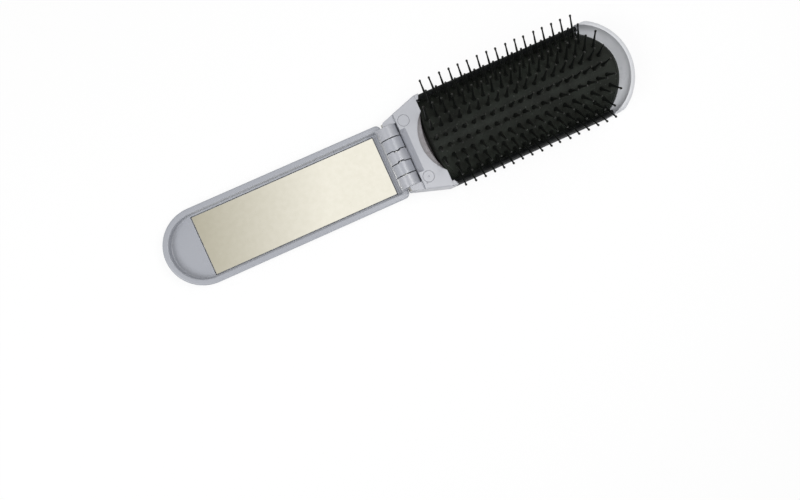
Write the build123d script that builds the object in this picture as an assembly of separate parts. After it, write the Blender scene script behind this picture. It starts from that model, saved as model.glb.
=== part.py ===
from build123d import *
from math import acos, atan2, cos, degrees, pi, radians, sin, sqrt, tan
import os

os.makedirs("parts", exist_ok=True)

# Folding hairbrush with a mirror in its cover. The open brush lies on z = 0 with the bristles up.
# The hinge axis runs along Y above x = 0. The brush head reaches to +X, the mirror cover to -X.
# All sizes are in millimetres.

# Whole brush
reach = 121.4                # hinge axis to the base's far end
cover_set_back = 1.8         # the cover's far end stops short of the base's by this much
closed_depth = 26.0          # base back to cover outside when folded
parting_gap = 0.2            # between the folded cover's rim and the base's rim
base_depth = 18.0            # base back to base rim
axis_height = closed_depth / 2
cover_depth = closed_depth - base_depth - parting_gap

# Hinge
barrel_radius = 5.0
knuckle_length = 5.6
knuckle_gap = 0.5
knuckle_pitch = knuckle_length + knuckle_gap
hinge_pin_radius = 1.5
running_clearance = 0.05     # radial, round the pin in every knuckle that turns on it
turning_gap = 0.3            # between the cover's knuckles and the neck behind them
detent_width = 3.2           # ridge on the cover's knuckles at its foot
detent_height = 0.45
detent_slope = 0.5           # the ridge is narrower by this much each side at its top
detent_groove_depth = 0.6
detent_side_play = 0.2
end_recess = 0.5             # the pin ends this far inside the neck's cheeks

# Base outline
head_half_width = 23.3
head_start = 18.0            # the neck's flare meets the full width here
cheek_half_width = 17.2      # at the front of the neck
cheek_top = 15.8             # beside the outer knuckles
cheek_reach = 1.0            # the neck stands this far in front of the hinge axis
tip_radius = 26.5
shoulder_round = 5.0         # plan radius where the sides meet the tip
cheek_round = 1.4
back_edge_round = 4.0
rim_edge_round = 1.6

# Base inside
back_wall = 2.0
wall = 2.6                   # side walls beside the pad
scoop_rim = 2.4              # flat of the rim between the tip's outside and its scoop
scoop_foot_height = 12.4
scoop_middle_height = 14.0
scoop_middle_share = 0.62    # how far out the scoop has come at its middle height
window_length = 50.0
window_width = 22.0
window_centre = 62.0
window_lip_width = 1.6
window_lip_height = 0.8
bay_floor_round = 2.0

# Neck plate and its pegs
neck_top = 17.4
plate_thickness = 1.6
plate_corner_round = 1.2
valley_width = 2.8           # the neck slopes down to the knuckles over this width
valley_foot = 13.4           # and meets the wall behind them at this height
valley_half_length = 10.9    # along the hinge, at the plate's top
valley_end_slope = 0.5       # its ends come in by this much for each unit of depth
mouth_neck_apex = 11.5       # the plate's arc comes this near to the hinge axis
mouth_neck_half_width = 15.0
peg_radius = 2.65
peg_depth = 4.0              # below the plate
peg_ring_gap = 0.1
peg_x = 8.8
peg_y = 14.3
dimple_radius = 0.4
dimple_depth = 0.35
dimple_reach = 3.1           # from the peg's centre to the dimple beside it
dimple_direction = 233.0     # degrees from +X, seen from above

# Side rails
rail_foot = 6.0              # top of the shell's wall below the rail
rail_top = 15.9
rail_lip_height = 1.2        # thickness of the lip over the pad's edge
rail_neck_margin = 1.2       # from the end of the neck's flare to the rail
rail_tip_margin = 18.0       # from the rail to the tip's end
rail_slant = 1.2             # the outer edge is this much shorter at each end
rail_end_gap = 0.1
rail_ridge_count = 3
rail_ridge_height = 0.35
rail_ridge_lean = 0.08       # each ridge lies this much further in than the one below
rail_tongue_width = 0.9
rail_tongue_depth = 1.4
rail_tongue_gap = 0.1

# Bristle pad: nine lengthwise strips that lie on an arch
strip_pitch = 4.95
strip_turn = 10.0            # degrees between one strip and the next
strips_per_side = 4
strip_thickness = 1.2
strip_gap = 0.3
pad_edge_height = 12.5
pad_neck_apex = 14.6         # the pad's fixed front end at the middle
pad_neck_radius = 34.0
strip_neck_apex = 16.3       # the strips' front ends at the middle
strip_neck_radius = 36.0
plate_gap = 0.1              # between the neck plate's edge and the pad's front end
skirt_thickness = 1.2
skirt_gap = 0.3              # between the strips and the pad's fixed ends
tip_crescent = 7.0           # plan width of the shell beyond the pad, at the middle
mouth_tip_radius = 23.5
mouth_gap = 0.1              # between the pad's tip end and the shell
tip_skirt_width = 3.4        # plan width of the pad's tip end, at the middle
pad_tip_radius = 25.5
tip_dome_round = 4.0
neck_dome_round = 1.0
neck_skirt_reach = 4.9       # how far the pad's front end comes back along its sides
edge_travel_gap = 0.25       # past the pad's edge at its widest
edge_lift_gap = 0.45         # above and below the pad's edge in the rails' grooves

# Pins of the pad
pin_pitch = 4.8
first_pin_x = 18.8
pin_end_margin = 1.1         # least distance from a strip's end to a pin's axis
pin_length = 14.1            # from the middle of the strip's thickness
pin_root_radius = 0.75
pin_neck_radius = 0.4
pin_ball_radius = 0.62
pin_end_radius = 0.3
pin_neck_below_end = 1.5
pin_sides = 6
row_splay = 0.5              # degrees that a row leans out, times its number from the middle
outer_row_inset = 0.2
pin_back_lean = 4.0          # degrees that the pins lean towards the neck

# Mirror cover
cover_start = 1.5            # the cover's end face is this far behind the hinge axis
cover_half_width = 18.9
cover_corner_round = 2.6
cover_outer_round = 3.2
cover_rim_round = 0.8
tray_rim_round = 0.6
rim_width = 2.9
rim_lip_height = 1.3
rim_lip_step = 0.3
tray_floor = 3.2
tray_floor_round = 0.8
tray_corner_round = 1.0
gusset_foot = 3.4            # the knuckle arms' gussets start this high on the end face
arm_foot = 4.0

# Mirror
mirror_far_margin = 18.1     # from the mirror to the cover's far end
mirror_width = 30.0
mirror_thickness = 1.1
mirror_start = 6.5           # from the hinge axis
mirror_corner_round = 0.4
mirror_bevel = 0.3
mirror_side_gap = 0.2
tape_thickness = 0.3
tape_margin = 1.0
pocket_floor = 1.6

# Worked-out places
ledge_height = pad_edge_height - strip_thickness / 2    # the pad's ends stand on this ledge
tip_centre = reach - tip_radius
neck_face = barrel_radius + turning_gap
plate_seat = neck_top - plate_thickness
rail_inner_start = head_start + rail_neck_margin
rail_inner_end = reach - rail_tip_margin
pad_inner_half_width = head_half_width - wall
pad_rise = strip_pitch * sum(sin(radians(strip_turn * k)) for k in range(1, strips_per_side + 1))
pad_top_height = pad_edge_height + pad_rise
pad_flat_half_width = strip_pitch * (strips_per_side + 0.5)
arch_radius = strip_pitch / 2 / tan(radians(strip_turn / 2))
arch_centre_height = pad_top_height - arch_radius
mouth_tip_apex = reach - tip_crescent
pad_tip_apex = mouth_tip_apex - tip_skirt_width         # the strips' tip end at the middle
mouth_tip_centre = mouth_tip_apex - mouth_tip_radius
pad_tip_centre = pad_tip_apex - pad_tip_radius
pad_neck_centre = pad_neck_apex + pad_neck_radius
strip_neck_centre = strip_neck_apex + strip_neck_radius
cover_reach = reach - cover_set_back
mirror_length = cover_reach - mirror_start - mirror_far_margin
plenty = 300.0               # longer than the whole brush, for cutting tools
hair = 0.01                  # for telling edges and corners apart


def write(name, shape):
    export_step(shape, "parts/" + name + ".step")


def block(x_low, x_high, y_low, y_high, z_low, z_high):
    middle = Pos((x_low + x_high) / 2, (y_low + y_high) / 2, (z_low + z_high) / 2)
    return middle * Box(x_high - x_low, y_high - y_low, z_high - z_low)


def raised(face, low, high):
    return Pos(0, 0, low) * extrude(face, high - low)


def disc(x, radius, low, high):
    return Pos(x, 0, (low + high) / 2) * Cylinder(radius, high - low)


def cross_cylinder(radius, y_low, y_high):
    """A cylinder on the hinge axis."""
    turned = Pos(0, (y_low + y_high) / 2, axis_height) * Rot(90, 0, 0)
    return turned * Cylinder(radius, y_high - y_low)


def filled(*lines):
    """A face inside lines that meet end to end."""
    return make_face([edge for line in lines for edge in line.edges()])


def near_x(shape, x):
    return shape.vertices().filter_by_position(Axis.X, x - hair, x + hair)


def edges_within(edges, half_width):
    """The edges that stay within half_width of the middle plane."""
    kept = []
    for edge in edges:
        bounds = edge.bounding_box()
        if max(abs(bounds.min.Y), abs(bounds.max.Y)) < half_width + hair:
            kept.append(edge)
    return kept


# ------------------------------------------------------------------------- plan outlines

def base_plan():
    """The base seen from above: neck flare, straight sides and round tip."""
    shoulder = tip_centre + sqrt(tip_radius**2 - head_half_width**2)
    side = Polyline((-cheek_reach, cheek_half_width), (head_start, head_half_width),
                    (shoulder, head_half_width))
    tip = ThreePointArc((shoulder, head_half_width), (reach, 0), (shoulder, -head_half_width))
    front = Line((-cheek_reach, -cheek_half_width), (-cheek_reach, cheek_half_width))
    face = filled(side, tip, mirror(side, Plane.XZ), front)
    face = fillet(near_x(face, shoulder), shoulder_round)
    return fillet(near_x(face, -cheek_reach), cheek_round)


def mouth_plan(neck_apex, neck_half_width):
    """The opening in the base's front, from an arc in the neck to the tip."""
    side_end = mouth_tip_centre + sqrt(mouth_tip_radius**2 - pad_inner_half_width**2)
    neck_arc = ThreePointArc((head_start, -neck_half_width), (neck_apex, 0),
                             (head_start, neck_half_width))
    side = Polyline((head_start, neck_half_width), (head_start, pad_inner_half_width),
                    (side_end, pad_inner_half_width))
    tip = ThreePointArc((side_end, pad_inner_half_width), (mouth_tip_apex, 0),
                        (side_end, -pad_inner_half_width))
    return filled(neck_arc, side, tip, mirror(side, Plane.XZ))


def bay_plan():
    """The room below the strips: their flattened outline with a gap all round."""
    half = pad_inner_half_width
    tip_radius_here = pad_tip_radius + skirt_gap
    neck_radius_here = strip_neck_radius + skirt_gap
    neck_end = strip_neck_centre - sqrt(neck_radius_here**2 - half**2)
    tip_end = pad_tip_centre + sqrt(tip_radius_here**2 - half**2)
    neck_arc = ThreePointArc((neck_end, -half), (strip_neck_centre - neck_radius_here, 0),
                             (neck_end, half))
    side = Line((neck_end, half), (tip_end, half))
    tip_arc = ThreePointArc((tip_end, half), (pad_tip_centre + tip_radius_here, 0),
                            (tip_end, -half))
    return filled(neck_arc, side, tip_arc, mirror(side, Plane.XZ))


def rail_plan(side, end_gap):
    """A rail's seat from above, with slanted ends. side is 1 for +Y and -1 for -Y."""
    inner_start = rail_inner_start + end_gap
    inner_end = rail_inner_end - end_gap
    points = [(inner_start, side * pad_inner_half_width),
              (inner_end, side * pad_inner_half_width),
              (inner_end - rail_slant, side * head_half_width),
              (inner_start + rail_slant, side * head_half_width)]
    return filled(Polyline(*points, close=True))


def tray_plan(inset, corner):
    """The mirror cover from above, drawn in by inset all round. Its far end is half a circle."""
    near = -cover_start - inset
    half = cover_half_width - inset
    shoulder = cover_half_width - cover_reach
    side = Line((near, half), (shoulder, half))
    far = ThreePointArc((shoulder, half), (shoulder - half, 0), (shoulder, -half))
    end = Line((near, -half), (near, half))
    face = filled(side, far, mirror(side, Plane.XZ), end)
    return fillet(near_x(face, near), corner)


# ---------------------------------------------------------------------------- base pieces

def base_body():
    """The base's outer form before anything is hollowed."""
    body = extrude(base_plan(), base_depth)
    body = fillet(body.edges().group_by(Axis.Z)[0], back_edge_round)
    return fillet(body.edges().group_by(Axis.Z)[-1], rim_edge_round)


def tip_scoop():
    """The hollow slope between the tip's rim and the pad."""
    rim_radius = tip_radius - scoop_rim
    middle_centre = mouth_tip_centre + scoop_middle_share * (tip_centre - mouth_tip_centre)
    middle_radius = mouth_tip_radius + scoop_middle_share * (rim_radius - mouth_tip_radius)
    sections = [Pos(mouth_tip_centre, 0, scoop_foot_height) * Circle(mouth_tip_radius),
                Pos(middle_centre, 0, scoop_middle_height) * Circle(middle_radius),
                Pos(tip_centre, 0, base_depth) * Circle(rim_radius)]
    scoop = loft(sections)
    return scoop & block(rail_inner_end - rail_slant, reach, -plenty, plenty, 0, plenty)


def detent(y_face, outward, height, side_play):
    """A trapezoid bar up and down a knuckle's end face, seen along the hinge axis."""
    half_foot = detent_width / 2 + side_play
    half_top = half_foot - detent_slope
    y_top = y_face + outward * height
    outline = Polyline((-half_foot, y_face), (half_foot, y_face), (half_top, y_top),
                       (-half_top, y_top), close=True)
    bar = extrude(filled(outline), 2 * barrel_radius)
    bar = Pos(0, 0, axis_height - barrel_radius) * bar
    y_low, y_high = sorted((y_face, y_top))
    return bar & cross_cylinder(barrel_radius, y_low, y_high)


def plate_mouth():
    return mouth_plan(mouth_neck_apex, mouth_neck_half_width)


def shell_mouth():
    """Under the plate the opening is only as large as the pad's front end."""
    radius = pad_neck_radius + plate_gap
    half_width = sqrt(radius**2 - (pad_neck_centre - head_start)**2)
    return mouth_plan(pad_neck_centre - radius, half_width)


def valley():
    """The slope between the plate's top and the wall behind the knuckles."""
    above = neck_top - valley_foot
    sections = []
    for share in (0, 2):
        width = barrel_radius + share * valley_width
        half_length = valley_half_length - (1 - share) * above * valley_end_slope
        middle = Pos(neck_face - barrel_radius + width / 2, 0, valley_foot + share * above)
        sections.append(middle * Rectangle(width, 2 * half_length))
    return loft(sections)


def hinge_knuckles(shape):
    """Adds knuckles 1, 3 and 5 to the neck and clears the room of knuckles 2 and 4."""
    half = knuckle_length / 2
    for number in (-2, 0, 2):
        centre = number * knuckle_pitch
        shape += cross_cylinder(barrel_radius, centre - half, centre + half)
    for side in (-1, 1):
        room = sorted((side * half, side * (2 * knuckle_pitch - half)))
        shape -= block(-plenty, neck_face, *room, 0, plenty)
        shape -= detent(side * half, -side, detent_groove_depth, detent_side_play)
    shape -= cross_cylinder(hinge_pin_radius, -plenty, plenty)
    return shape - cross_cylinder(hinge_pin_radius + running_clearance, -half, half)


def finger_window():
    """The rounded window in the back through which a finger pushes the pad out."""
    slot = Pos(window_centre, 0) * SlotOverall(window_length, window_width)
    lip = Pos(window_centre, 0) * SlotOverall(window_length + 2 * window_lip_width,
                                              window_width + 2 * window_lip_width)
    return slot, lip


def base_shell():
    shell = base_body()
    knuckles_end = 2 * knuckle_pitch + knuckle_length / 2
    shell -= block(-plenty, neck_face, -plenty, plenty, cheek_top, plenty)
    shell -= block(-plenty, neck_face, -knuckles_end, knuckles_end, axis_height, plenty)
    shell -= block(neck_face, head_start, -plenty, plenty, plate_seat, plenty)
    shell -= valley()
    shell -= block(head_start, rail_inner_start + rail_slant, -plenty, plenty, neck_top, plenty)
    shell -= raised(shell_mouth(), ledge_height, plenty)
    bay = raised(bay_plan(), back_wall, ledge_height)
    shell -= fillet(bay.edges().group_by(Axis.Z)[0], bay_floor_round)
    shell -= tip_scoop()
    slot, lip = finger_window()
    shell += raised(lip, back_wall, back_wall + window_lip_height)
    shell -= raised(slot, -plenty, ledge_height)
    for side in (-1, 1):
        shell -= raised(rail_plan(side, 0), rail_foot, plenty)
        shell -= rail_tongue(side, rail_tongue_gap)
        shell -= Pos(peg_x, side * peg_y) * disc(0, peg_radius, plate_seat - peg_depth, plenty)
    return hinge_knuckles(shell)


def neck_plate():
    middle = Pos((neck_face + head_start) / 2, 0)
    cut = middle * Rectangle(head_start - neck_face, 2 * head_half_width)
    cut = fillet(near_x(cut, head_start), plate_corner_round)
    plate = base_body() & raised(cut, plate_seat, neck_top)
    plate -= raised(plate_mouth(), 0, plenty)
    plate -= valley()
    for side in (-1, 1):
        hole = disc(0, peg_radius + peg_ring_gap, 0, plenty)
        plate -= Pos(peg_x, side * peg_y) * hole
    direction = radians(dimple_direction)
    beside = Pos(peg_x + dimple_reach * cos(direction), -peg_y + dimple_reach * sin(direction))
    return plate - beside * disc(0, dimple_radius, neck_top - dimple_depth, plenty)


def neck_peg(side):
    peg = disc(0, peg_radius, plate_seat - peg_depth, neck_top)
    if side < 0:
        peg -= disc(0, dimple_radius, neck_top - dimple_depth, plenty)
    return Pos(peg_x, side * peg_y) * peg


def hinge_pin():
    neck_slope = (head_half_width - cheek_half_width) / (head_start + cheek_reach)
    cheek = cheek_half_width + cheek_reach * neck_slope
    return cross_cylinder(hinge_pin_radius, end_recess - cheek, cheek - end_recess)


def rail_tongue(side, gap):
    """The tongue under a rail, or with a gap the groove for it in the shell's wall."""
    middle = side * (pad_inner_half_width + head_half_width) / 2
    half = rail_tongue_width / 2 + gap
    start = rail_inner_start + rail_slant + rail_tongue_width - gap
    end = rail_inner_end - rail_slant - rail_tongue_width + gap
    return block(start, end, middle - half, middle + half,
                 rail_foot - rail_tongue_depth - gap, rail_foot)


def rail_section():
    """A rail's cross-section for the +Y side: groove inside, ridges outside."""
    groove_low = pad_edge_height - strip_thickness / 2 - edge_lift_gap
    groove_high = pad_edge_height + strip_thickness / 2 + edge_lift_gap
    groove_outer = pad_flat_half_width + edge_travel_gap
    lip_top = groove_high + rail_lip_height
    crest = (pad_inner_half_width + head_half_width) / 2
    ridge_pitch = (rail_top - rail_foot) / rail_ridge_count
    foot = (head_half_width - rail_ridge_height, rail_foot)
    lines = [Polyline(foot, (pad_inner_half_width, rail_foot),
                      (pad_inner_half_width, groove_low), (groove_outer, groove_low),
                      (groove_outer, groove_high), (pad_inner_half_width, groove_high),
                      (pad_inner_half_width, lip_top), (crest, rail_top))]
    for number in range(rail_ridge_count):
        crown = head_half_width - number * rail_ridge_lean
        low = rail_foot + number * ridge_pitch
        top = (crown - rail_ridge_lean - rail_ridge_height, low + ridge_pitch)
        lines.append(ThreePointArc(foot, (crown, low + ridge_pitch / 2), top))
        foot = top
    lines.append(Line(foot, (crest, rail_top)))
    return filled(*lines)


def side_rail(side):
    bar = extrude(Plane.YZ * rail_section(), plenty)
    if side < 0:
        bar = mirror(bar, Plane.XZ)
    bar &= raised(rail_plan(side, rail_end_gap), 0, plenty)
    return bar + rail_tongue(side, 0)


# ---------------------------------------------------------------------------- bristle pad

def arch_solid(growth):
    """Everything under the pad's arch, grown by so much, above the pad's edge."""
    cylinder = Pos(0, 0, arch_centre_height) * Rot(0, 90, 0) * Cylinder(arch_radius + growth, plenty)
    half_width = pad_inner_half_width - plate_gap
    return cylinder & block(0, reach, -half_width, half_width, ledge_height, plenty)


def domed_disc(centre, radius, top, rounding):
    dome = disc(centre, radius, 0, top)
    return fillet(dome.edges().group_by(Axis.Z)[-1], rounding)


def end_skin(outer, inner):
    """The arch's skin between an outer and an inner outline."""
    half = strip_thickness / 2
    return (arch_solid(half) & outer) - (arch_solid(-half) & inner)


def pad_neck_skirt():
    """Front end of the pad, a nearly upright wall on the ledge behind the neck plate."""
    top = pad_top_height + strip_thickness / 2
    edge = head_start + plate_gap
    outer = domed_disc(pad_neck_centre, pad_neck_radius, top, neck_dome_round)
    outer += block(edge, pad_neck_centre, -plenty, plenty, 0, top)
    inner = disc(pad_neck_centre, pad_neck_radius - skirt_thickness, 0, top)
    inner += block(edge + skirt_thickness, pad_neck_centre, -plenty, plenty, 0, top)
    strips = disc(strip_neck_centre, strip_neck_radius + skirt_gap, 0, plenty)
    beyond = block(edge + neck_skirt_reach, reach, -plenty, plenty, 0, plenty)
    return end_skin(outer, inner) - strips - beyond


def pad_tip_skirt():
    """Round end of the pad, domed down to the tip's scoop."""
    top = pad_top_height + strip_thickness / 2
    radius = mouth_tip_radius - mouth_gap
    outer = domed_disc(mouth_tip_centre, radius, top, tip_dome_round)
    inner = domed_disc(mouth_tip_centre, radius - skirt_thickness, top - strip_thickness,
                       tip_dome_round - skirt_thickness)
    strips = disc(pad_tip_centre, pad_tip_radius + skirt_gap, 0, plenty)
    before = block(0, pad_tip_centre, -plenty, plenty, 0, plenty)
    return end_skin(outer, inner) - strips - before


def strip_place(number):
    """Middle of a strip's thickness at rest: its y, its height and its lean in degrees."""
    y = 0.0
    z = pad_top_height
    for k in range(1, abs(number) + 1):
        before = radians(strip_turn * (k - 1))
        after = radians(strip_turn * k)
        y += strip_pitch / 2 * (cos(before) + cos(after))
        z -= strip_pitch / 2 * (sin(before) + sin(after))
    side = 1 if number >= 0 else -1
    return side * y, z, -strip_turn * number


def strip_ends(across):
    """Where the flattened pad starts and ends along X, at a distance from its middle."""
    start = strip_neck_centre - sqrt(strip_neck_radius**2 - across**2)
    end = pad_tip_centre + sqrt(pad_tip_radius**2 - across**2)
    return start, end


def pin_places(across):
    """Where the pins' axes stand along a row."""
    start, end = strip_ends(across)
    places = []
    x = first_pin_x
    while x < end - pin_end_margin:
        if x > start + pin_end_margin:
            places.append(x)
        x += pin_pitch
    return places


def tapered(low_radius, high_radius, low, high):
    """An upright prism that tapers from one radius to another."""
    flat_change = (low_radius - high_radius) * cos(pi / pin_sides)
    slope = degrees(atan2(flat_change, high - low))
    return Pos(0, 0, low) * extrude(RegularPolygon(low_radius, pin_sides), high - low, taper=slope)


def bristle_pin():
    """One tapered pin with a ball end, standing on the middle of the strip's thickness."""
    neck = pin_length - pin_neck_below_end
    ball = pin_length - pin_neck_below_end / 2
    shank = tapered(pin_root_radius, pin_neck_radius, 0, neck)
    under_ball = tapered(pin_neck_radius, pin_ball_radius, neck, ball)
    over_ball = tapered(pin_ball_radius, pin_end_radius, ball, pin_length)
    return shank + under_ball + over_ball


def pad_strip(number):
    """One strip of the pad with its row of pins. number counts from the middle to +Y."""
    half = (strip_pitch - strip_gap) / 2
    across = number * strip_pitch
    low, high = across - half, across + half
    neck_arc = ThreePointArc((strip_ends(low)[0], -half), (strip_ends(across)[0], 0),
                             (strip_ends(high)[0], half))
    tip_arc = ThreePointArc((strip_ends(low)[1], -half), (strip_ends(across)[1], 0),
                            (strip_ends(high)[1], half))
    sides = [Line((strip_ends(edge)[0], y), (strip_ends(edge)[1], y))
             for edge, y in ((low, -half), (high, half))]
    strip = extrude(filled(neck_arc, tip_arc, *sides), strip_thickness)
    strip = Pos(0, 0, -strip_thickness / 2) * strip
    side = (number > 0) - (number < 0)
    pin_y = -side * outer_row_inset if abs(number) == strips_per_side else 0.0
    pin = Rot(0, -pin_back_lean, 0) * Rot(-row_splay * number, 0, 0) * bristle_pin()
    strip += [Pos(x, pin_y) * pin for x in pin_places(across)]
    y, z, lean = strip_place(number)
    return Pos(0, y, z) * Rot(lean, 0, 0) * strip


def strip_name(number):
    if number == 0:
        return "pad_strip_centre"
    return "pad_strip_" + ("left_" if number > 0 else "right_") + str(abs(number))


# --------------------------------------------------------------------------- mirror cover

def knuckle_arm(number):
    """Knuckle 2 or 4 with the arm that carries it on the cover's end wall."""
    centre = number * knuckle_pitch
    low, high = centre - knuckle_length / 2, centre + knuckle_length / 2
    knuckle = cross_cylinder(barrel_radius, low, high)
    foot_below = axis_height - gusset_foot
    foot_distance = sqrt(cover_start**2 + foot_below**2)
    touch_angle = atan2(-foot_below, -cover_start) + acos(barrel_radius / foot_distance)
    touch = (barrel_radius * cos(touch_angle), axis_height + barrel_radius * sin(touch_angle))
    wall_inside = -cover_start - rim_width
    outline = Polyline((wall_inside, arm_foot), (-cover_start, arm_foot),
                       (-cover_start, gusset_foot), touch, (0, axis_height),
                       (wall_inside, axis_height - barrel_radius / 2), close=True)
    arm = extrude(Plane.XZ * filled(outline), knuckle_length)
    return knuckle + Pos(0, high, 0) * arm


def mirror_cover():
    lip_foot = cover_depth - rim_lip_height
    body = extrude(tray_plan(rim_lip_step, cover_corner_round), lip_foot)
    body = fillet(body.edges().group_by(Axis.Z)[0], cover_outer_round)
    lip = raised(tray_plan(0, cover_corner_round), lip_foot, cover_depth)
    body += fillet(lip.edges().group_by(Axis.Z)[-1], cover_rim_round)
    recess = raised(tray_plan(rim_width, tray_corner_round), tray_floor, plenty)
    body -= fillet(recess.edges().group_by(Axis.Z)[0], tray_floor_round)
    rim_edges = body.edges().group_by(Axis.Z)[-1]
    body = fillet(edges_within(rim_edges, cover_half_width - rim_width), tray_rim_round)
    body -= mirror_blank(mirror_side_gap, pocket_floor, plenty)
    for number in (-1, 1):
        body += knuckle_arm(number)
        inner_face = number * (knuckle_length / 2 + knuckle_gap)
        body += detent(inner_face, -number, detent_height, 0)
    return body - cross_cylinder(hinge_pin_radius + running_clearance, -plenty, plenty)


def mirror_blank(growth, low, high):
    """The mirror's outline, grown by so much all round, between two heights."""
    centre = Pos(-mirror_start - mirror_length / 2, 0)
    outline = RectangleRounded(mirror_length + 2 * growth, mirror_width + 2 * growth,
                               mirror_corner_round)
    return raised(centre * outline, low, high)


def mirror_glass():
    low = pocket_floor + tape_thickness
    glass = mirror_blank(0, low, low + mirror_thickness)
    return chamfer(glass.edges().group_by(Axis.Z)[-1], mirror_bevel)


def mirror_tape():
    return mirror_blank(-tape_margin, pocket_floor, pocket_floor + tape_thickness)


write("base_shell", base_shell())
write("neck_plate", neck_plate())
write("neck_peg_left", neck_peg(1))
write("neck_peg_right", neck_peg(-1))
write("hinge_pin", hinge_pin())
write("side_rail_left", side_rail(1))
write("side_rail_right", side_rail(-1))
write("pad_neck_skirt", pad_neck_skirt())
write("pad_tip_skirt", pad_tip_skirt())
for strip in range(-strips_per_side, strips_per_side + 1):
    write(strip_name(strip), pad_strip(strip))
write("mirror_cover", mirror_cover())
write("mirror", mirror_glass())
write("mirror_tape", mirror_tape())
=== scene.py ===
from math import cos, hypot, radians, sin, sqrt, tan

import bpy
from mathutils import Matrix, Vector


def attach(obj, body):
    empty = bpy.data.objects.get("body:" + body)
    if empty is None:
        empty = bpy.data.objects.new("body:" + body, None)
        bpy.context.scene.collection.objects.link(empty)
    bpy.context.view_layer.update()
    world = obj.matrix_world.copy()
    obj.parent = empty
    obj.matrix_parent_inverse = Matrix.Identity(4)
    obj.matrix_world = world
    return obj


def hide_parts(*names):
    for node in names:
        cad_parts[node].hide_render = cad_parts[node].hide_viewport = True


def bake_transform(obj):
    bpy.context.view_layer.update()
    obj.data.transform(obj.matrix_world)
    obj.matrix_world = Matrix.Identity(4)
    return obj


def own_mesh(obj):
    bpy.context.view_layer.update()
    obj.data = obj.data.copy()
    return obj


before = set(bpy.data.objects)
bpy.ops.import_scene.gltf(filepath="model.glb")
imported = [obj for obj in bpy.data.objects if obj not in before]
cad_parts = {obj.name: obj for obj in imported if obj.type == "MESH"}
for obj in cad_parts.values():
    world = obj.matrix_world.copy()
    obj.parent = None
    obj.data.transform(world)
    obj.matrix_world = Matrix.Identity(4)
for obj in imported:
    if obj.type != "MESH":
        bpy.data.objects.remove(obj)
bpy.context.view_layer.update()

# Folding hairbrush with a mirror in its cover: finishes, rubber pad, pins, light and camera.
# Lengths are in metres, written as millimetres times mm. Object coordinates are the frame's.
mm = 0.001

# Rubber pad
strip_pitch = 4.95 * mm
strip_turn = radians(10.0)
strips_per_side = 4
skin_thickness = 1.2 * mm
pad_edge_height = 12.5 * mm
pad_edge_beyond = 2.325 * mm     # the outer strips end this far beyond their middle line
ledge_height = 11.9 * mm         # the pad's ends stand here
neck_arc_centre = 96.0 * mm      # front end of the pad, seen from above
neck_arc_radius = 80.0 * mm
neck_edge = 18.1 * mm            # beside the arc the front end is straight
tip_arc_centre = 90.9 * mm
tip_arc_radius = 23.4 * mm
neck_split_centre = 52.3 * mm    # the skin between the strips starts on this arc
neck_split_radius = 36.3 * mm
tip_split_centre = 85.5 * mm     # and ends on this one
tip_split_radius = 25.2 * mm
split_gap = 0.12 * mm
neck_dome_width = 0.3 * mm       # the surface bends down to the ledge over this width
tip_dome_width = 5.0 * mm
pad_end_thickness = 0.45 * mm
pad_end_steps = 12
pad_end_crowding = 2.0           # steps get shorter towards the ledge
skin_steps_across = 8
skin_steps_along = 72
skin_crowding = 1.3              # steps get shorter towards the tip
cut_edge_angle = radians(50.0)   # sharper turns than this stay crisp

# Pad edges in the rails' grooves
edge_inner = 19.7 * mm
edge_outer = 22.2 * mm
edge_start = 20.4 * mm
edge_end = 103.0 * mm
edge_half_height = 0.5 * mm
edge_bevel_width = 0.5 * mm
edge_inner_face = 0.3 * mm       # half the height that the bevels leave
edge_outer_face = 0.2 * mm
edge_steps = 24

# Pins
pin_pitch = 4.8 * mm
first_pin_x = 18.8 * mm
pin_end_margin = 1.1 * mm
strip_neck_radius = 36.0 * mm
strip_tip_radius = 25.5 * mm
pin_length = 14.1 * mm
pin_foot_radius = 1.15 * mm      # the moulded foot, sunk in the skin up to its height
pin_foot_height = 0.6 * mm
pin_root_height = 1.5 * mm       # from here the pin tapers to its neck
pin_root_radius = 0.74 * mm
pin_fillet_height = 1.0 * mm
pin_fillet_radius = 1.12 * pin_root_radius
pin_neck_radius = 0.37 * mm
pin_collar_radius = 1.08 * pin_neck_radius    # where the ball begins
pin_ball_radius = 0.59 * mm
pin_ball_height = 1.25 * mm
# Rings of the ball: share of its height, share of its radius
pin_ball_rings = [(0.2, 0.88), (0.5, 1.0), (0.83, 0.78), (1.0, 0.2)]
pin_sides = 8
pin_back_lean = radians(7.0)     # the soft pins have set towards the neck
pin_lean_spread = radians(1.2)   # each leans up to this much its own way
# The rows, from the -Y side to the +Y side, have set by these angles towards +Y
row_set = [radians(angle) for angle in (7.5, 3.5, 0.5, -1.0, -2.0, -2.0, -1.5, -1.0, -0.5)]
outer_row_inset = 0.2 * mm       # the outermost rows stand this much nearer the middle

# Print on the cover's outside
print_start = -99.0 * mm
print_end = -21.0 * mm
print_half_width = 8.4 * mm
print_dot_pitch = 3.0 * mm
print_dot_turn = radians(45.0)
print_smallest_dot = 0.10        # radius, as a share of the pitch
print_largest_dot = 0.46
print_dot_blur = 0.02
print_line_width = 0.7 * mm
print_line_place = 10.4 * mm
print_facing = -0.9              # the outside's normal points down at least this much
ink_tone = "#0D69A9"

# Painted light on the shell's tip, and painted shade in front of the pad
lit_tip_start = 85.0 * mm
lit_tip_end = 112.0 * mm
painted_tip_light_tone = "#D2D4D8"
painted_shade_middle = Vector((15.0, 0.0, 13.9)) * mm
painted_shade_half_size = Vector((4.6, 16.5, 2.4)) * mm
painted_shade_tone = "#6E666B"

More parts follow.
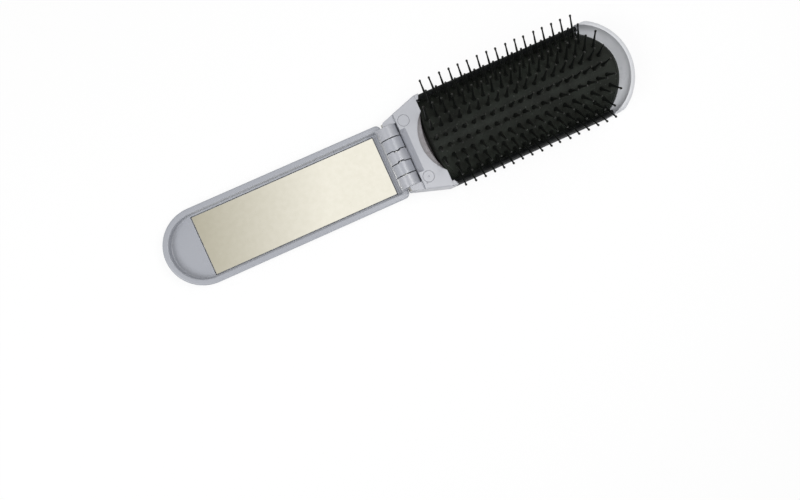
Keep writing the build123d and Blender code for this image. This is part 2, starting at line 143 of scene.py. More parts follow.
# Patterns in the finishes. Grains and pores are drawn coarser than real ones, so that they show
melt_cloud_size = 26.0 * mm
# how far the painted shade in the ABS's corners reaches
abs_painted_shade_reach = 1.2 * mm
abs_edge_radius = 0.25 * mm
abs_grain_size = 0.5 * mm
abs_grain_depth = 0.03 * mm
# size of the patches in the painted shade in front of the pad
painted_shade_patch_size = 2.5 * mm
ink_patch_size = 1.2 * mm
dust_cloud_size = 11.0 * mm
lint_size = 0.8 * mm
lint_tone = "#6A706A"
rubber_grain_depth = 0.05 * mm
rubber_dullness_spread = 0.12    # roughness varies with the grain by this much
glass_cloud_size = 2.6 * mm
glass_speck_size = 1.4 * mm
wire_line_width = 0.15 * mm
wire_line_squeeze = 0.03         # the lines' pattern is drawn out along the wire
wire_line_depth = 0.01 * mm
tape_pore_size = 0.3 * mm
tape_pore_depth = 0.05 * mm

# Camera: it looks nearly straight down
camera_place = Vector((-38.0, -38.8, 344.9)) * mm
camera_aim = Vector((-16.5, -40.2, 0.0)) * mm
camera_roll = radians(24.3)      # the brush's long axis rises this much to the right
image_width = 800
focal_pixels = 706.7
sensor_width = 36.0              # millimetres, as the lens wants it
camera_near = 10.0 * mm
camera_far = 20000.0 * mm

# Light
fill_strength = 0.42
floor_glow = 0.85                # share of the floor that is plain white to the camera
shadow_reach = 250.0 * mm        # from here outwards the floor turns wholly white
floor_half_width = 6000.0 * mm
floor_height = -0.2 * mm         # just clear of the brush's back
plain_white = "#FFFFFF"
ceiling_direction = (1.0, -0.38, 0.0)    # the ceiling gets lighter this way
ceiling_dark_at = -0.235
ceiling_light_at = -0.04
ceiling_dark_tone = "#BBB6A5"
ceiling_light_tone = "#F6F2E6"
side_lamp_place = Vector((-420.0, -100.0, 520.0)) * mm
side_lamp_aim = Vector((0.0, 0.0, 0.0))
side_lamp_width = 300.0 * mm
side_lamp_watts = 1.7
top_lamp_place = Vector((140.0, -20.0, 420.0)) * mm
top_lamp_aim = Vector((80.0, 0.0, 0.0)) * mm
top_lamp_width = 200.0 * mm
top_lamp_watts = 0.75

# The arch through the strips' middle lines, seen along X
arch_radius = strip_pitch / 2 / tan(strip_turn / 2)
pad_rise = strip_pitch * sum(sin(strip_turn * k) for k in range(1, strips_per_side + 1))
arch_centre_height = pad_edge_height + pad_rise - arch_radius
edge_angle = strip_turn * strips_per_side + pad_edge_beyond / arch_radius


# ------------------------------------------------------------------------ small helpers

def colour(code):
    """An sRGB hex colour as linear red, green, blue and alpha."""
    shares = [int(code[i:i + 2], 16) / 255 for i in (1, 3, 5)]
    return [c / 12.92 if c <= 0.04045 else ((c + 0.055) / 1.055) ** 2.4 for c in shares] + [1.0]


def add(tree, kind, inputs=None, **settings):
    """Adds a node. An input is a value, another node's output, or a node for its first output."""
    made = tree.nodes.new(kind)
    for name, value in settings.items():
        setattr(made, name, value)
    for name, value in (inputs or {}).items():
        if isinstance(value, bpy.types.Node):
            value = value.outputs[0]
        if isinstance(value, bpy.types.NodeSocket):
            tree.links.new(value, made.inputs[name])
        else:
            made.inputs[name].default_value = value
    return made


def new_material(name):
    """An empty material, its tree, and the place on the piece that patterns read."""
    made = bpy.data.materials.new(name)
    made.use_nodes = True
    made.node_tree.nodes.clear()
    return made, made.node_tree, add(made.node_tree, "ShaderNodeTexCoord").outputs["Object"]


def show(tree, inputs):
    """Ends a material's tree with its shader."""
    shader = add(tree, "ShaderNodeBsdfPrincipled", inputs)
    add(tree, "ShaderNodeOutputMaterial", {"Surface": shader})


def mesh_object(name, points, faces, made_of):
    """A smooth-shaded object of one material."""
    mesh = bpy.data.meshes.new(name)
    mesh.from_pydata(points, [], faces)
    mesh.materials.append(made_of)
    mesh.shade_smooth()
    made = bpy.data.objects.new(name, mesh)
    bpy.context.scene.collection.objects.link(made)
    return made


def settled(obj):
    """Turns what the object's modifiers make into its plain mesh."""
    evaluated = obj.evaluated_get(bpy.context.evaluated_depsgraph_get())
    mesh = bpy.data.meshes.new_from_object(evaluated)
    obj.modifiers.clear()
    obj.data = mesh
    return obj


def grid(rows, rings=False):
    """Points and quads of a grid given as rows of points. With rings, each row closes on itself."""
    width = len(rows[0])
    points = [point for row in rows for point in row]
    faces = []
    for start in range(0, (len(rows) - 1) * width, width):
        for here in range(width if rings else width - 1):
            there = (here + 1) % width
            faces.append((start + here, start + there, start + width + there, start + width + here))
    return points, faces


# ----------------------------------------------------------------------------- finishes

def moulded_abs(name, base, cloud_and_shade_tone, worn, tone_over):
    """Injection-moulded ABS from a polished mould: even colour, a soft gloss that varies with
    the flow of the melt, burnished edges, and painted shade that darkens the corners. tone_over
    adds what lies on the plastic: a print, or painted light and shade."""
    made, tree, place = new_material(name)
    flow = add(tree, "ShaderNodeTexNoise", {"Vector": place, "Scale": 1 / melt_cloud_size,
                                            "Detail": 3.0})
    clouded = add(tree, "ShaderNodeMapRange", {"Value": flow, "From Min": 0.35, "From Max": 0.65,
                                               "To Max": 0.25})
    tone = add(tree, "ShaderNodeMixRGB", {"Fac": clouded, "Color1": colour(base),
                                          "Color2": colour(cloud_and_shade_tone)})
    # Painted shade: the colour darkens towards the darker tone where nearby surfaces hem a point in.
    occlusion = add(tree, "ShaderNodeAmbientOcclusion", {"Distance": abs_painted_shade_reach}, samples=16)
    painted_corner_shade = add(tree, "ShaderNodeMapRange", {"Value": occlusion.outputs["AO"], "From Min": 0.1,
                                             "From Max": 0.55, "To Min": 0.35, "To Max": 0.0})
    tone = add(tree, "ShaderNodeMixRGB", {"Fac": painted_corner_shade, "Color1": tone, "Color2": colour(cloud_and_shade_tone)})
    rounded = add(tree, "ShaderNodeBevel", {"Radius": abs_edge_radius}, samples=16)
    flat = add(tree, "ShaderNodeNewGeometry").outputs["Normal"]
    turned = add(tree, "ShaderNodeVectorMath", {0: rounded, 1: flat}, operation="DOT_PRODUCT")
    edge = add(tree, "ShaderNodeMapRange", {"Value": turned.outputs["Value"], "From Min": 0.8,
                                            "From Max": 0.97, "To Min": 0.4, "To Max": 0.0})
    tone = add(tree, "ShaderNodeMixRGB", {"Fac": edge, "Color1": tone, "Color2": colour(worn)})
    tone = tone_over(tree, place, tone)
    grain = add(tree, "ShaderNodeTexNoise", {"Vector": place, "Scale": 1 / abs_grain_size,
                                             "Detail": 4.0})
    bump = add(tree, "ShaderNodeBump", {"Height": grain, "Strength": 0.06,
                                        "Distance": abs_grain_depth, "Normal": rounded})
    gloss = add(tree, "ShaderNodeMapRange", {"Value": flow, "From Min": 0.3, "From Max": 0.7,
                                             "To Min": 0.26, "To Max": 0.36})
    show(tree, {"Base Color": tone, "Roughness": gloss, "IOR": 1.54, "Normal": bump})
    return made


def painted_light_on_shell(tree, place, plain):
    """Painted light and shade on the shell: the tip is painted paler than the neck, and the
    sunken crescent between the neck plate and the pad is painted darker in patches, as shade."""
    # Painted light: towards the tip the colour turns paler.
    along = add(tree, "ShaderNodeSeparateXYZ", {"Vector": place}).outputs["X"]
    paler = add(tree, "ShaderNodeMapRange", {"Value": along, "From Min": lit_tip_start,
                                            "From Max": lit_tip_end})
    plain = add(tree, "ShaderNodeMixRGB", {"Fac": paler, "Color1": plain, "Color2": colour(painted_tip_light_tone)})
    # Painted shade: a darker patch, broken up by noise, on the sunken crescent in front of the pad.
    from_middle = add(tree, "ShaderNodeVectorMath", {0: place, 1: painted_shade_middle},
                      operation="SUBTRACT")
    part = add(tree, "ShaderNodeVectorMath", {0: from_middle, 1: painted_shade_half_size},
               operation="DIVIDE")
    part = add(tree, "ShaderNodeVectorMath", {0: part}, operation="ABSOLUTE")
    part = add(tree, "ShaderNodeSeparateXYZ", {"Vector": part}).outputs
    worst = add(tree, "ShaderNodeMath", {0: part["X"], 1: part["Y"]}, operation="MAXIMUM")
    worst = add(tree, "ShaderNodeMath", {0: worst, 1: part["Z"]}, operation="MAXIMUM")
    inside = add(tree, "ShaderNodeMath", {0: worst, 1: 1.0}, operation="LESS_THAN")
    patch = add(tree, "ShaderNodeTexNoise", {"Vector": place, "Scale": 1 / painted_shade_patch_size,
                                             "Detail": 3.0})
    shade_strength = add(tree, "ShaderNodeMapRange", {"Value": patch, "From Min": 0.3, "From Max": 0.7,
                                             "To Min": 0.65, "To Max": 0.95})
    share = add(tree, "ShaderNodeMath", {0: inside, 1: shade_strength}, operation="MULTIPLY")
    return add(tree, "ShaderNodeMixRGB", {"Fac": share, "Color1": plain,
                                          "Color2": colour(painted_shade_tone)})


def screen_print(tree, place, plain):
    """One-colour screen print on the cover's outside: dots that grow towards the hinge,
    between two thin lines. The ink is a little thin in places."""
    spot = add(tree, "ShaderNodeSeparateXYZ", {"Vector": place}).outputs
    along, across = spot["X"], spot["Y"]
    per_pitch = 1 / print_dot_pitch
    turned = add(tree, "ShaderNodeMapping", {"Vector": place, "Rotation": (0.0, 0.0, print_dot_turn),
                                             "Scale": (per_pitch, per_pitch, 0.0)})
    cell = add(tree, "ShaderNodeVectorMath", {0: turned}, operation="FRACTION")
    cell_middle = (0.5, 0.5, 0.0)
    from_middle = add(tree, "ShaderNodeVectorMath", {0: cell, 1: cell_middle}, operation="DISTANCE")
    reach = add(tree, "ShaderNodeMapRange", {"Value": along, "From Min": print_start,
                                             "From Max": print_end, "To Min": print_smallest_dot,
                                             "To Max": print_largest_dot})
    inside = add(tree, "ShaderNodeMath", {0: reach, 1: from_middle.outputs["Value"]},
                 operation="SUBTRACT")
    dots = add(tree, "ShaderNodeMapRange", {"Value": inside, "From Min": -print_dot_blur,
                                            "From Max": print_dot_blur})
    distance = add(tree, "ShaderNodeMath", {0: across}, operation="ABSOLUTE")
    in_band = add(tree, "ShaderNodeMath", {0: distance, 1: print_half_width}, operation="LESS_THAN")
    dots = add(tree, "ShaderNodeMath", {0: dots, 1: in_band}, operation="MULTIPLY")
    lines = add(tree, "ShaderNodeMath", {0: distance, 1: print_line_place, 2: print_line_width / 2},
                operation="COMPARE")
    ink = add(tree, "ShaderNodeMath", {0: dots, 1: lines}, operation="MAXIMUM")
    middle = (print_start + print_end) / 2
    in_length = add(tree, "ShaderNodeMath", {0: along, 1: middle, 2: (print_end - print_start) / 2},
                    operation="COMPARE")
    ink = add(tree, "ShaderNodeMath", {0: ink, 1: in_length}, operation="MULTIPLY")
    normal = add(tree, "ShaderNodeTexCoord").outputs["Normal"]
    down = add(tree, "ShaderNodeSeparateXYZ", {"Vector": normal}).outputs["Z"]
    outside = add(tree, "ShaderNodeMath", {0: down, 1: print_facing}, operation="LESS_THAN")
    ink = add(tree, "ShaderNodeMath", {0: ink, 1: outside}, operation="MULTIPLY")
    paler = add(tree, "ShaderNodeTexNoise", {"Vector": place, "Scale": 1 / ink_patch_size,
                                            "Detail": 3.0})
    cover = add(tree, "ShaderNodeMapRange", {"Value": paler, "From Min": 0.25, "From Max": 0.45,
                                             "To Min": 0.82, "To Max": 1.0})
    ink = add(tree, "ShaderNodeMath", {0: ink, 1: cover}, operation="MULTIPLY")
    return add(tree, "ShaderNodeMixRGB", {"Fac": ink, "Color1": plain, "Color2": colour(ink_tone)})


def moulded_rubber(name, base, dusty, grain_size, roughness, shine):
    """Compression-moulded black rubber: nearly matt, fine grain, a breath of dust and lint."""
    made, tree, place = new_material(name)
    cloud = add(tree, "ShaderNodeTexNoise", {"Vector": place, "Scale": 1 / dust_cloud_size,
                                             "Detail": 3.0})
    powder = add(tree, "ShaderNodeMapRange", {"Value": cloud, "From Min": 0.4, "From Max": 0.7,
                                              "To Max": 0.5})
    tone = add(tree, "ShaderNodeMixRGB", {"Fac": powder, "Color1": colour(base),
                                          "Color2": colour(dusty)})
    speck = add(tree, "ShaderNodeTexNoise", {"Vector": place, "Scale": 1 / lint_size, "Detail": 1.0})
    lint = add(tree, "ShaderNodeMapRange", {"Value": speck, "From Min": 0.70, "From Max": 0.82,
                                            "To Max": 0.5})
    tone = add(tree, "ShaderNodeMixRGB", {"Fac": lint, "Color1": tone, "Color2": colour(lint_tone)})
    grain = add(tree, "ShaderNodeTexNoise", {"Vector": place, "Scale": 1 / grain_size, "Detail": 3.0})
    bump = add(tree, "ShaderNodeBump", {"Height": grain, "Strength": 0.25,
                                        "Distance": rubber_grain_depth})
    dull = add(tree, "ShaderNodeMapRange", {"Value": grain, "From Min": 0.3, "From Max": 0.7,
                                            "To Min": roughness,
                                            "To Max": roughness + rubber_dullness_spread})
    show(tree, {"Base Color": tone, "Roughness": dull, "IOR": 1.5, "Specular IOR Level": shine,
                "Normal": bump})
    return made


def silvered_glass(name, clear, clouded):
    """Float glass silvered on its back: a full mirror with faint clouds and specks of dust."""
    made, tree, place = new_material(name)
    cloud = add(tree, "ShaderNodeTexNoise", {"Vector": place, "Scale": 1 / glass_cloud_size,
                                             "Detail": 4.0})
    share = add(tree, "ShaderNodeMapRange", {"Value": cloud, "From Min": 0.35, "From Max": 0.65})
    tone = add(tree, "ShaderNodeMixRGB", {"Fac": share, "Color1": colour(clear),
                                          "Color2": colour(clouded)})
    speck = add(tree, "ShaderNodeTexNoise", {"Vector": place, "Scale": 1 / glass_speck_size,
                                             "Detail": 0.0})
    dull = add(tree, "ShaderNodeMapRange", {"Value": speck, "From Min": 0.7, "From Max": 0.8,
                                            "To Min": 0.015, "To Max": 0.10})
    show(tree, {"Base Color": tone, "Metallic": 1.0, "Roughness": dull})
    return made


def drawn_steel(name, tint):
    """Drawn steel wire: fine lines along its length."""
    made, tree, place = new_material(name)
    along = add(tree, "ShaderNodeMapping", {"Vector": place, "Scale": (1.0, wire_line_squeeze, 1.0)})
    line = add(tree, "ShaderNodeTexNoise", {"Vector": along, "Scale": 1 / wire_line_width,
                                            "Detail": 2.0})
    bump = add(tree, "ShaderNodeBump", {"Height": line, "Strength": 0.3, "Distance": wire_line_depth})
    dull = add(tree, "ShaderNodeMapRange", {"Value": line, "From Min": 0.2, "From Max": 0.8,
                                            "To Min": 0.22, "To Max": 0.42})
    show(tree, {"Base Color": colour(tint), "Metallic": 1.0, "Normal": bump, "Roughness": dull})
    return made


def foam_tape(name, tint, pore):
    """Acrylic foam mounting tape: matt, with tiny pores."""
    made, tree, place = new_material(name)
    pores = add(tree, "ShaderNodeTexNoise", {"Vector": place, "Scale": 1 / tape_pore_size,
                                             "Detail": 1.0})
    bump = add(tree, "ShaderNodeBump", {"Height": pores, "Strength": 0.5,
                                        "Distance": tape_pore_depth})
    open_pore = add(tree, "ShaderNodeMapRange", {"Value": pores, "From Min": 0.3, "From Max": 0.5,
                                                 "To Min": 1.0, "To Max": 0.0})
    tone = add(tree, "ShaderNodeMixRGB", {"Fac": open_pore, "Color1": colour(tint),
                                          "Color2": colour(pore)})
    show(tree, {"Base Color": tone, "Roughness": 0.85, "Normal": bump})
    return made


# The shell's tones are set a little lighter than the cover's: painted light for the brighter-lit head.
shell_abs = moulded_abs("moulded_abs", base="#ADAFB6", cloud_and_shade_tone="#A2A4AC", worn="#C2C4CB",
                        tone_over=painted_light_on_shell)
cover_abs = moulded_abs("printed_abs", base="#A7AAB2", cloud_and_shade_tone="#9C9FA8", worn="#BCBEC5",
                        tone_over=screen_print)
pad_rubber = moulded_rubber("pad_rubber", base="#191C19", dusty="#2D322D", grain_size=0.5 * mm,
                            roughness=0.5, shine=0.12)
pin_rubber = moulded_rubber("pin_rubber", base="#121413", dusty="#1F211F", grain_size=0.3 * mm,
                            roughness=0.30, shine=0.28)
grip_rubber = moulded_rubber("grip_rubber", base="#17191A", dusty="#292B2D", grain_size=0.4 * mm,
                             roughness=0.55, shine=0.12)
mirror_silver = silvered_glass("silvered_glass", clear="#FBFBF9", clouded="#F7F7F4")
pin_steel = drawn_steel("drawn_steel", tint="#C9C9C7")
mounting_tape = foam_tape("foam_tape", tint="#E8E6DE", pore="#C9C6BA")

node_finish = {
    "base_shell": shell_abs, "neck_plate": shell_abs, "neck_peg_left": shell_abs,
    "neck_peg_right": shell_abs, "mirror_cover": cover_abs, "side_rail_left": grip_rubber,
    "side_rail_right": grip_rubber, "hinge_pin": pin_steel, "mirror": mirror_silver,
    "mirror_tape": mounting_tape,
}
for node_name, finish in node_finish.items():
    for material_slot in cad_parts[node_name].material_slots:
        material_slot.material = finish


# -------------------------------------------------------------------------- rubber pad

def arc_x(centre, radius, y, towards):
    """Where an arc round a centre on the X axis is, at y. towards is 1 for its +X side."""
    return centre + towards * sqrt(radius**2 - y**2)


def pad_boundary(y):
    """Where the pad's outer surface meets the ledge at the neck and at the tip."""
    neck = min(arc_x(neck_arc_centre, neck_arc_radius, y, -1), neck_edge)
    return neck, arc_x(tip_arc_centre, tip_arc_radius, y, 1)


def skin_start(y):
    """Where the skin between the strips begins, clear of the bent front end."""
    neck, tip = pad_boundary(y)
    return max(arc_x(neck_split_centre, neck_split_radius, y, -1), neck + neck_dome_width)


def dome(depth, width):
    """Share of the full height at a distance inside the boundary."""
    share = max(0.0, min(1.0, depth / width))
    return sqrt(1 - (1 - share)**2)


def pad_point(angle, x):
    """A point of the pad's outer surface. angle goes round the arch from its crown to +Y."""
    radius = arch_radius + skin_thickness / 2
    y = radius * sin(angle)
    z = arch_centre_height + radius * cos(angle)
    neck_x, tip_x = pad_boundary(y)
    share = dome(x - neck_x, neck_dome_width)
    if x > tip_arc_centre:
        share *= dome(tip_arc_radius - hypot(x - tip_arc_centre, y), tip_dome_width)
    return Vector((x, y, ledge_height + (z - ledge_height) * share))


def spaced(start, end, steps, crowding=1.0):
    """Values from start to end, crowded towards the end when crowding is over 1."""
    return [end + (start - end) * (1 - i / steps)**crowding for i in range(steps + 1)]


def strip_title(number):
    """left_1 is the first strip from the middle towards +Y."""
    if number == 0:
        return "centre"
    return ("left_" if number > 0 else "right_") + str(abs(number))


def middle_line(number):
    """Where a strip's middle line is, at the middle of its thickness."""
    angle = strip_turn * number
    return Vector((0, arch_radius * sin(angle), arch_centre_height + arch_radius * cos(angle)))


def thickened(obj, thickness):
    """Gives the skin its thickness inwards, with crisp cut edges."""
    solid = obj.modifiers.new("thickness", "SOLIDIFY")
    solid.thickness = thickness
    solid.offset = -1
    solid.use_even_offset = True
    settled(obj).data.set_sharp_from_angle(angle=cut_edge_angle)


def pad_skin(number):
    """The skin from one strip's middle line to the next one's, out to the rail at the side."""
    side = 1 if number > 0 else -1
    first = strip_turn * (abs(number) - 1)
    last = edge_angle if abs(number) == strips_per_side else strip_turn * abs(number)
    rows = []
    for angle in spaced(first, last, skin_steps_across):
        y = (arch_radius + skin_thickness / 2) * sin(angle)
        start = skin_start(y) + split_gap
        end = arc_x(tip_split_centre, tip_split_radius - split_gap, y, 1)
        rows.append([pad_point(side * angle, x)
                     for x in spaced(start, end, skin_steps_along, skin_crowding)])
    points, faces = grid(rows)
    if side < 0:
        faces = [face[::-1] for face in faces]
    skin = mesh_object("pad_skin_" + strip_title(number), points, faces, pad_rubber)
    thickened(skin, skin_thickness)
    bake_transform(skin)


def pad_end(name, at_tip, node):
    """The fixed end of the pad, bent down to the ledge. It goes with the base."""
    rows = []
    steps_round = 2 * skin_steps_across * strips_per_side
    for angle in spaced(-edge_angle, edge_angle, steps_round):
        y = (arch_radius + skin_thickness / 2) * sin(angle)
        neck_x, tip_x = pad_boundary(y)
        if at_tip:
            split, edge = arc_x(tip_split_centre, tip_split_radius + split_gap, y, 1), tip_x
        else:
            split, edge = skin_start(y), neck_x
        rows.append([pad_point(angle, x) for x in spaced(split, edge, pad_end_steps, pad_end_crowding)])
    points, faces = grid(rows)
    if not at_tip:
        faces = [face[::-1] for face in faces]
    end = mesh_object(name, points, faces, pad_rubber)
    thickened(end, pad_end_thickness)
    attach(end, "base")
    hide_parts(node)
    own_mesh(end)


def pad_edge(side):
    """The pad's flat edge in a rail's groove, with bevelled corners and closed ends."""
    upper = [(edge_inner, edge_inner_face), (edge_inner + edge_bevel_width, edge_half_height),
             (edge_outer - edge_bevel_width, edge_half_height), (edge_outer, edge_outer_face)]
    section = [(y, -z) for y, z in upper] + upper[::-1]
    rows = []
    for x in spaced(edge_start, edge_end, edge_steps):
        rows.append([Vector((x, side * y, pad_edge_height + z)) for y, z in section])
    points, faces = grid(rows, rings=True)
    first_ring = range(len(section))
    last_ring = range(len(points) - len(section), len(points))
    faces += [tuple(reversed(first_ring)), tuple(last_ring)]
    if side < 0:
        faces = [face[::-1] for face in faces]
    edge = mesh_object("pad_edge_left" if side > 0 else "pad_edge_right", points, faces, pad_rubber)
    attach(edge, "base")


for strip in range(1, strips_per_side + 1):
    pad_skin(strip)
    pad_skin(-strip)
pad_end("pad_end_neck", False, "pad_neck_skirt")
pad_end("pad_end_tip", True, "pad_tip_skirt")
pad_edge(1)
pad_edge(-1)


# -------------------------------------------------------------------------------- pins

def profile_curve(node, values):
    """Sets a float curve to straight lines through evenly spaced values."""
    points = node.mapping.curves[0].points
    last = len(values) - 1
    for i, value in enumerate(values):
        if i in (0, last):
            point = points[0 if i == 0 else len(points) - 1]
            point.location = (i / last, value)
        else:
            point = points.new(i / last, value)
        point.handle_type = "VECTOR"
    node.mapping.update()


def one_pin(tree, given):
    """A tapered pin with a ball at its end, standing up from the origin."""
    ball_start = pin_length - pin_ball_height
    rings = [(0.0, pin_foot_radius), (pin_foot_height, pin_foot_radius),
             (pin_fillet_height, pin_fillet_radius), (pin_root_height, pin_root_radius),
             (ball_start - pin_ball_height, pin_neck_radius), (ball_start, pin_collar_radius)]
    for up, out in pin_ball_rings:
        rings.append((ball_start + up * pin_ball_height, out * pin_ball_radius))
    line = add(tree, "GeometryNodeCurvePrimitiveLine", {"End": (0, 0, 1)})
    line = add(tree, "GeometryNodeResampleCurve", {"Curve": line, "Count": len(rings)})
    index = add(tree, "GeometryNodeInputIndex")
    share = add(tree, "ShaderNodeMath", {0: index, 1: len(rings) - 1}, operation="DIVIDE")
    height = add(tree, "ShaderNodeFloatCurve", {"Value": share})
    profile_curve(height, [up / pin_length for up, out in rings])
    radius = add(tree, "ShaderNodeFloatCurve", {"Value": share})
    profile_curve(radius, [out / pin_foot_radius for up, out in rings])
    lift = add(tree, "ShaderNodeMath", {0: height, 1: given["Pin length"]}, operation="MULTIPLY")
    wide = add(tree, "ShaderNodeMath", {0: radius, 1: given["Widest radius"]}, operation="MULTIPLY")
    spot = add(tree, "ShaderNodeCombineXYZ", {"Z": lift})
    line = add(tree, "GeometryNodeSetPosition", {"Geometry": line, "Position": spot})
    ring = add(tree, "GeometryNodeCurvePrimitiveCircle", {"Resolution": given["Sides"], "Radius": 1.0})
    return add(tree, "GeometryNodeCurveToMesh",
               {"Curve": line, "Profile Curve": ring, "Scale": wide, "Fill Caps": True})


def pin_row_tree():
    """Geometry nodes for a row of pins along X. Each pin leans a little its own way."""
    tree = bpy.data.node_groups.new("pin_row", "GeometryNodeTree")
    tree.interface.new_socket("Geometry", in_out="OUTPUT", socket_type="NodeSocketGeometry")
    for name, kind in (("Count", "Int"), ("First", "Float"), ("Pitch", "Float"), ("Across", "Float"),
                       ("Side lean", "Float"), ("Back lean", "Float"), ("Lean spread", "Float"),
                       ("Pin length", "Float"), ("Widest radius", "Float"), ("Sides", "Int"),
                       ("Seed", "Int"), ("Strip place", "Vector"), ("Strip lean", "Float"),
                       ("Material", "Material")):
        tree.interface.new_socket(name, in_out="INPUT", socket_type="NodeSocket" + kind)
    given = add(tree, "NodeGroupInput").outputs
    pin = one_pin(tree, given)
    start = add(tree, "ShaderNodeCombineXYZ", {"X": given["First"], "Y": given["Across"]})
    step = add(tree, "ShaderNodeCombineXYZ", {"X": given["Pitch"]})
    roots = add(tree, "GeometryNodeMeshLine", {"Count": given["Count"], "Start Location": start,
                                               "Offset": step})
    lean = add(tree, "ShaderNodeCombineXYZ", {"X": given["Side lean"], "Y": given["Back lean"]})
    spread = add(tree, "ShaderNodeCombineXYZ", {"X": given["Lean spread"], "Y": given["Lean spread"]})
    least = add(tree, "ShaderNodeVectorMath", {0: lean, 1: spread}, operation="SUBTRACT")
    most = add(tree, "ShaderNodeVectorMath", {0: lean, 1: spread}, operation="ADD")
    turn = add(tree, "FunctionNodeRandomValue", {"Min": least, "Max": most, "Seed": given["Seed"]},
               data_type="FLOAT_VECTOR")
    row = add(tree, "GeometryNodeInstanceOnPoints",
              {"Points": roots, "Instance": pin, "Rotation": turn})
    strip_turned = add(tree, "ShaderNodeCombineXYZ", {"X": given["Strip lean"]})
    row = add(tree, "GeometryNodeTransform", {"Geometry": row, "Rotation": strip_turned,
                                              "Translation": given["Strip place"]})
    row = add(tree, "GeometryNodeRealizeInstances", {"Geometry": row})
    row = add(tree, "GeometryNodeSetShadeSmooth", {"Geometry": row})
    row = add(tree, "GeometryNodeSetMaterial", {"Geometry": row, "Material": given["Material"]})
    add(tree, "NodeGroupOutput", {"Geometry": row})
    return tree


pin_tree = pin_row_tree()
pin_inputs = {item.name: item.identifier for item in pin_tree.interface.items_tree
              if item.in_out == "INPUT"}


def pin_row(number):
    """One strip's pins, as one mesh on the strip's body."""
    across = number * strip_pitch
    start = arc_x(neck_split_centre, strip_neck_radius, across, -1) + pin_end_margin
    end = arc_x(tip_split_centre, strip_tip_radius, across, 1) - pin_end_margin
    skipped = max(0, int((start - first_pin_x) / pin_pitch) + 1) if start > first_pin_x else 0
    first = first_pin_x + skipped * pin_pitch
    side = (number > 0) - (number < 0)
    values = {
        "Count": int((end - first) / pin_pitch) + 1, "First": first, "Pitch": pin_pitch,
        "Across": -side * outer_row_inset if abs(number) == strips_per_side else 0.0,
        "Side lean": -row_set[number + strips_per_side], "Back lean": -pin_back_lean,
        "Lean spread": pin_lean_spread,
        "Pin length": pin_length, "Widest radius": pin_foot_radius, "Sides": pin_sides,
        "Seed": number + strips_per_side, "Strip place": middle_line(number),
        "Strip lean": -strip_turn * number, "Material": pin_rubber,
    }
    row = bpy.data.objects.new("pad_pins_" + strip_title(number), bpy.data.meshes.new("pins"))
    bpy.context.scene.collection.objects.link(row)
    nodes = row.modifiers.new("pins", "NODES")
    nodes.node_group = pin_tree
    for name, value in values.items():
        nodes[pin_inputs[name]] = value
    settled(row)
    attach(row, "pad_" + strip_title(number))
    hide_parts("pad_strip_" + strip_title(number))


for strip in range(-strips_per_side, strips_per_side + 1):
    pin_row(strip)


# --------------------------------------------------------------------- floor and light

def floor():
    """A white floor that keeps the brush's shadow."""
    made, tree, place = new_material("white_floor")
    paper = add(tree, "ShaderNodeBsdfDiffuse", {"Color": colour(plain_white)})
    glow = add(tree, "ShaderNodeEmission", {"Color": colour(plain_white), "Strength": 1.0})
    away = add(tree, "ShaderNodeVectorMath", {0: place}, operation="LENGTH").outputs["Value"]
    share = add(tree, "ShaderNodeMapRange", {"Value": away, "From Min": shadow_reach,
                                             "From Max": 2 * shadow_reach, "To Min": floor_glow})
    seen = add(tree, "ShaderNodeLightPath").outputs["Is Camera Ray"]
    share = add(tree, "ShaderNodeMath", {0: seen, 1: share}, operation="MULTIPLY")
    mixed = add(tree, "ShaderNodeMixShader", {"Fac": share, 1: paper, 2: glow})
    add(tree, "ShaderNodeOutputMaterial", {"Surface": mixed})
    corners = [(x * floor_half_width, y * floor_half_width, floor_height)
               for x, y in ((-1, -1), (1, -1), (1, 1), (-1, 1))]
    mesh_object("floor", corners, [(0, 1, 2, 3)], made)


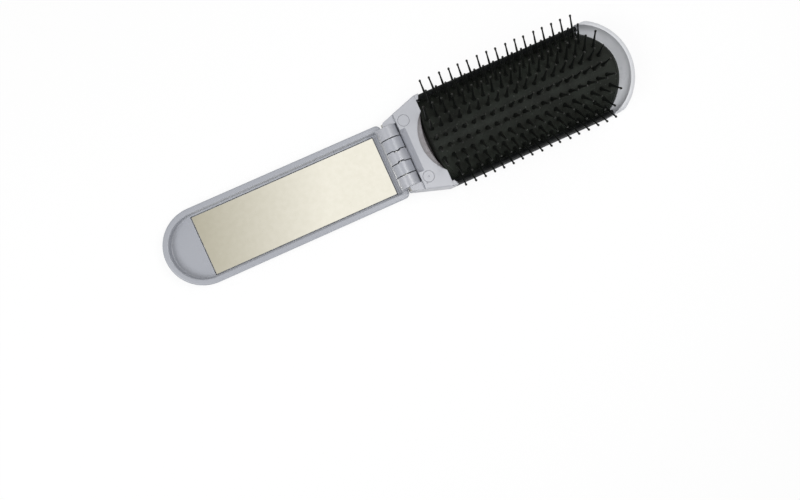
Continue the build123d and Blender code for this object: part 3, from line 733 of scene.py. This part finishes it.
def room():
    """White round the brush, with a cream ceiling for the mirror to show."""
    world = bpy.data.worlds.new("room")
    bpy.context.scene.world = world
    world.use_nodes = True
    tree = world.node_tree
    tree.nodes.clear()
    towards = add(tree, "ShaderNodeTexCoord").outputs["Generated"]
    lengthwise = add(tree, "ShaderNodeVectorMath", {0: towards, 1: ceiling_direction},
                     operation="DOT_PRODUCT")
    share = add(tree, "ShaderNodeMapRange", {"Value": lengthwise.outputs["Value"],
                                             "From Min": ceiling_dark_at,
                                             "From Max": ceiling_light_at})
    ceiling = add(tree, "ShaderNodeMixRGB", {"Fac": share, "Color1": colour(ceiling_dark_tone),
                                             "Color2": colour(ceiling_light_tone)})
    rays = add(tree, "ShaderNodeLightPath").outputs
    fill = add(tree, "ShaderNodeBackground", {"Color": colour(plain_white),
                                              "Strength": fill_strength})
    shown = add(tree, "ShaderNodeBackground", {"Color": ceiling, "Strength": 1.0})
    white = add(tree, "ShaderNodeBackground", {"Color": colour(plain_white), "Strength": 1.0})
    both = add(tree, "ShaderNodeMixShader", {"Fac": rays["Is Glossy Ray"], 1: fill, 2: shown})
    both = add(tree, "ShaderNodeMixShader", {"Fac": rays["Is Camera Ray"], 1: both, 2: white})
    add(tree, "ShaderNodeOutputWorld", {"Surface": both})


def softbox(name, place, aim, width, watts):
    """A square white lamp that faces aim."""
    lamp = bpy.data.lights.new(name, "AREA")
    lamp.size = width
    lamp.energy = watts
    holder = bpy.data.objects.new(name, lamp)
    holder.location = place
    holder.rotation_euler = (aim - place).to_track_quat("-Z", "Y").to_euler()
    bpy.context.scene.collection.objects.link(holder)


def camera():
    """A camera whose picture is turned round the way it looks, so that the brush lies aslant."""
    lens = bpy.data.cameras.new("camera")
    lens.sensor_width = sensor_width
    lens.lens = focal_pixels * sensor_width / image_width
    lens.clip_start = camera_near
    lens.clip_end = camera_far
    holder = bpy.data.objects.new("camera", lens)
    back = (camera_place - camera_aim).normalized()
    level = (Vector((1, 0, 0)) - back * back.x).normalized()
    upward = back.cross(level)
    right = cos(camera_roll) * level - sin(camera_roll) * upward
    up = sin(camera_roll) * level + cos(camera_roll) * upward
    turned = Matrix((right, up, back)).transposed().to_4x4()
    holder.matrix_world = Matrix.Translation(camera_place) @ turned
    bpy.context.scene.collection.objects.link(holder)
    bpy.context.scene.camera = holder


floor()
room()
softbox("side", side_lamp_place, side_lamp_aim, side_lamp_width, side_lamp_watts)
softbox("top", top_lamp_place, top_lamp_aim, top_lamp_width, top_lamp_watts)
camera()
bpy.context.scene.view_settings.view_transform = "Standard"
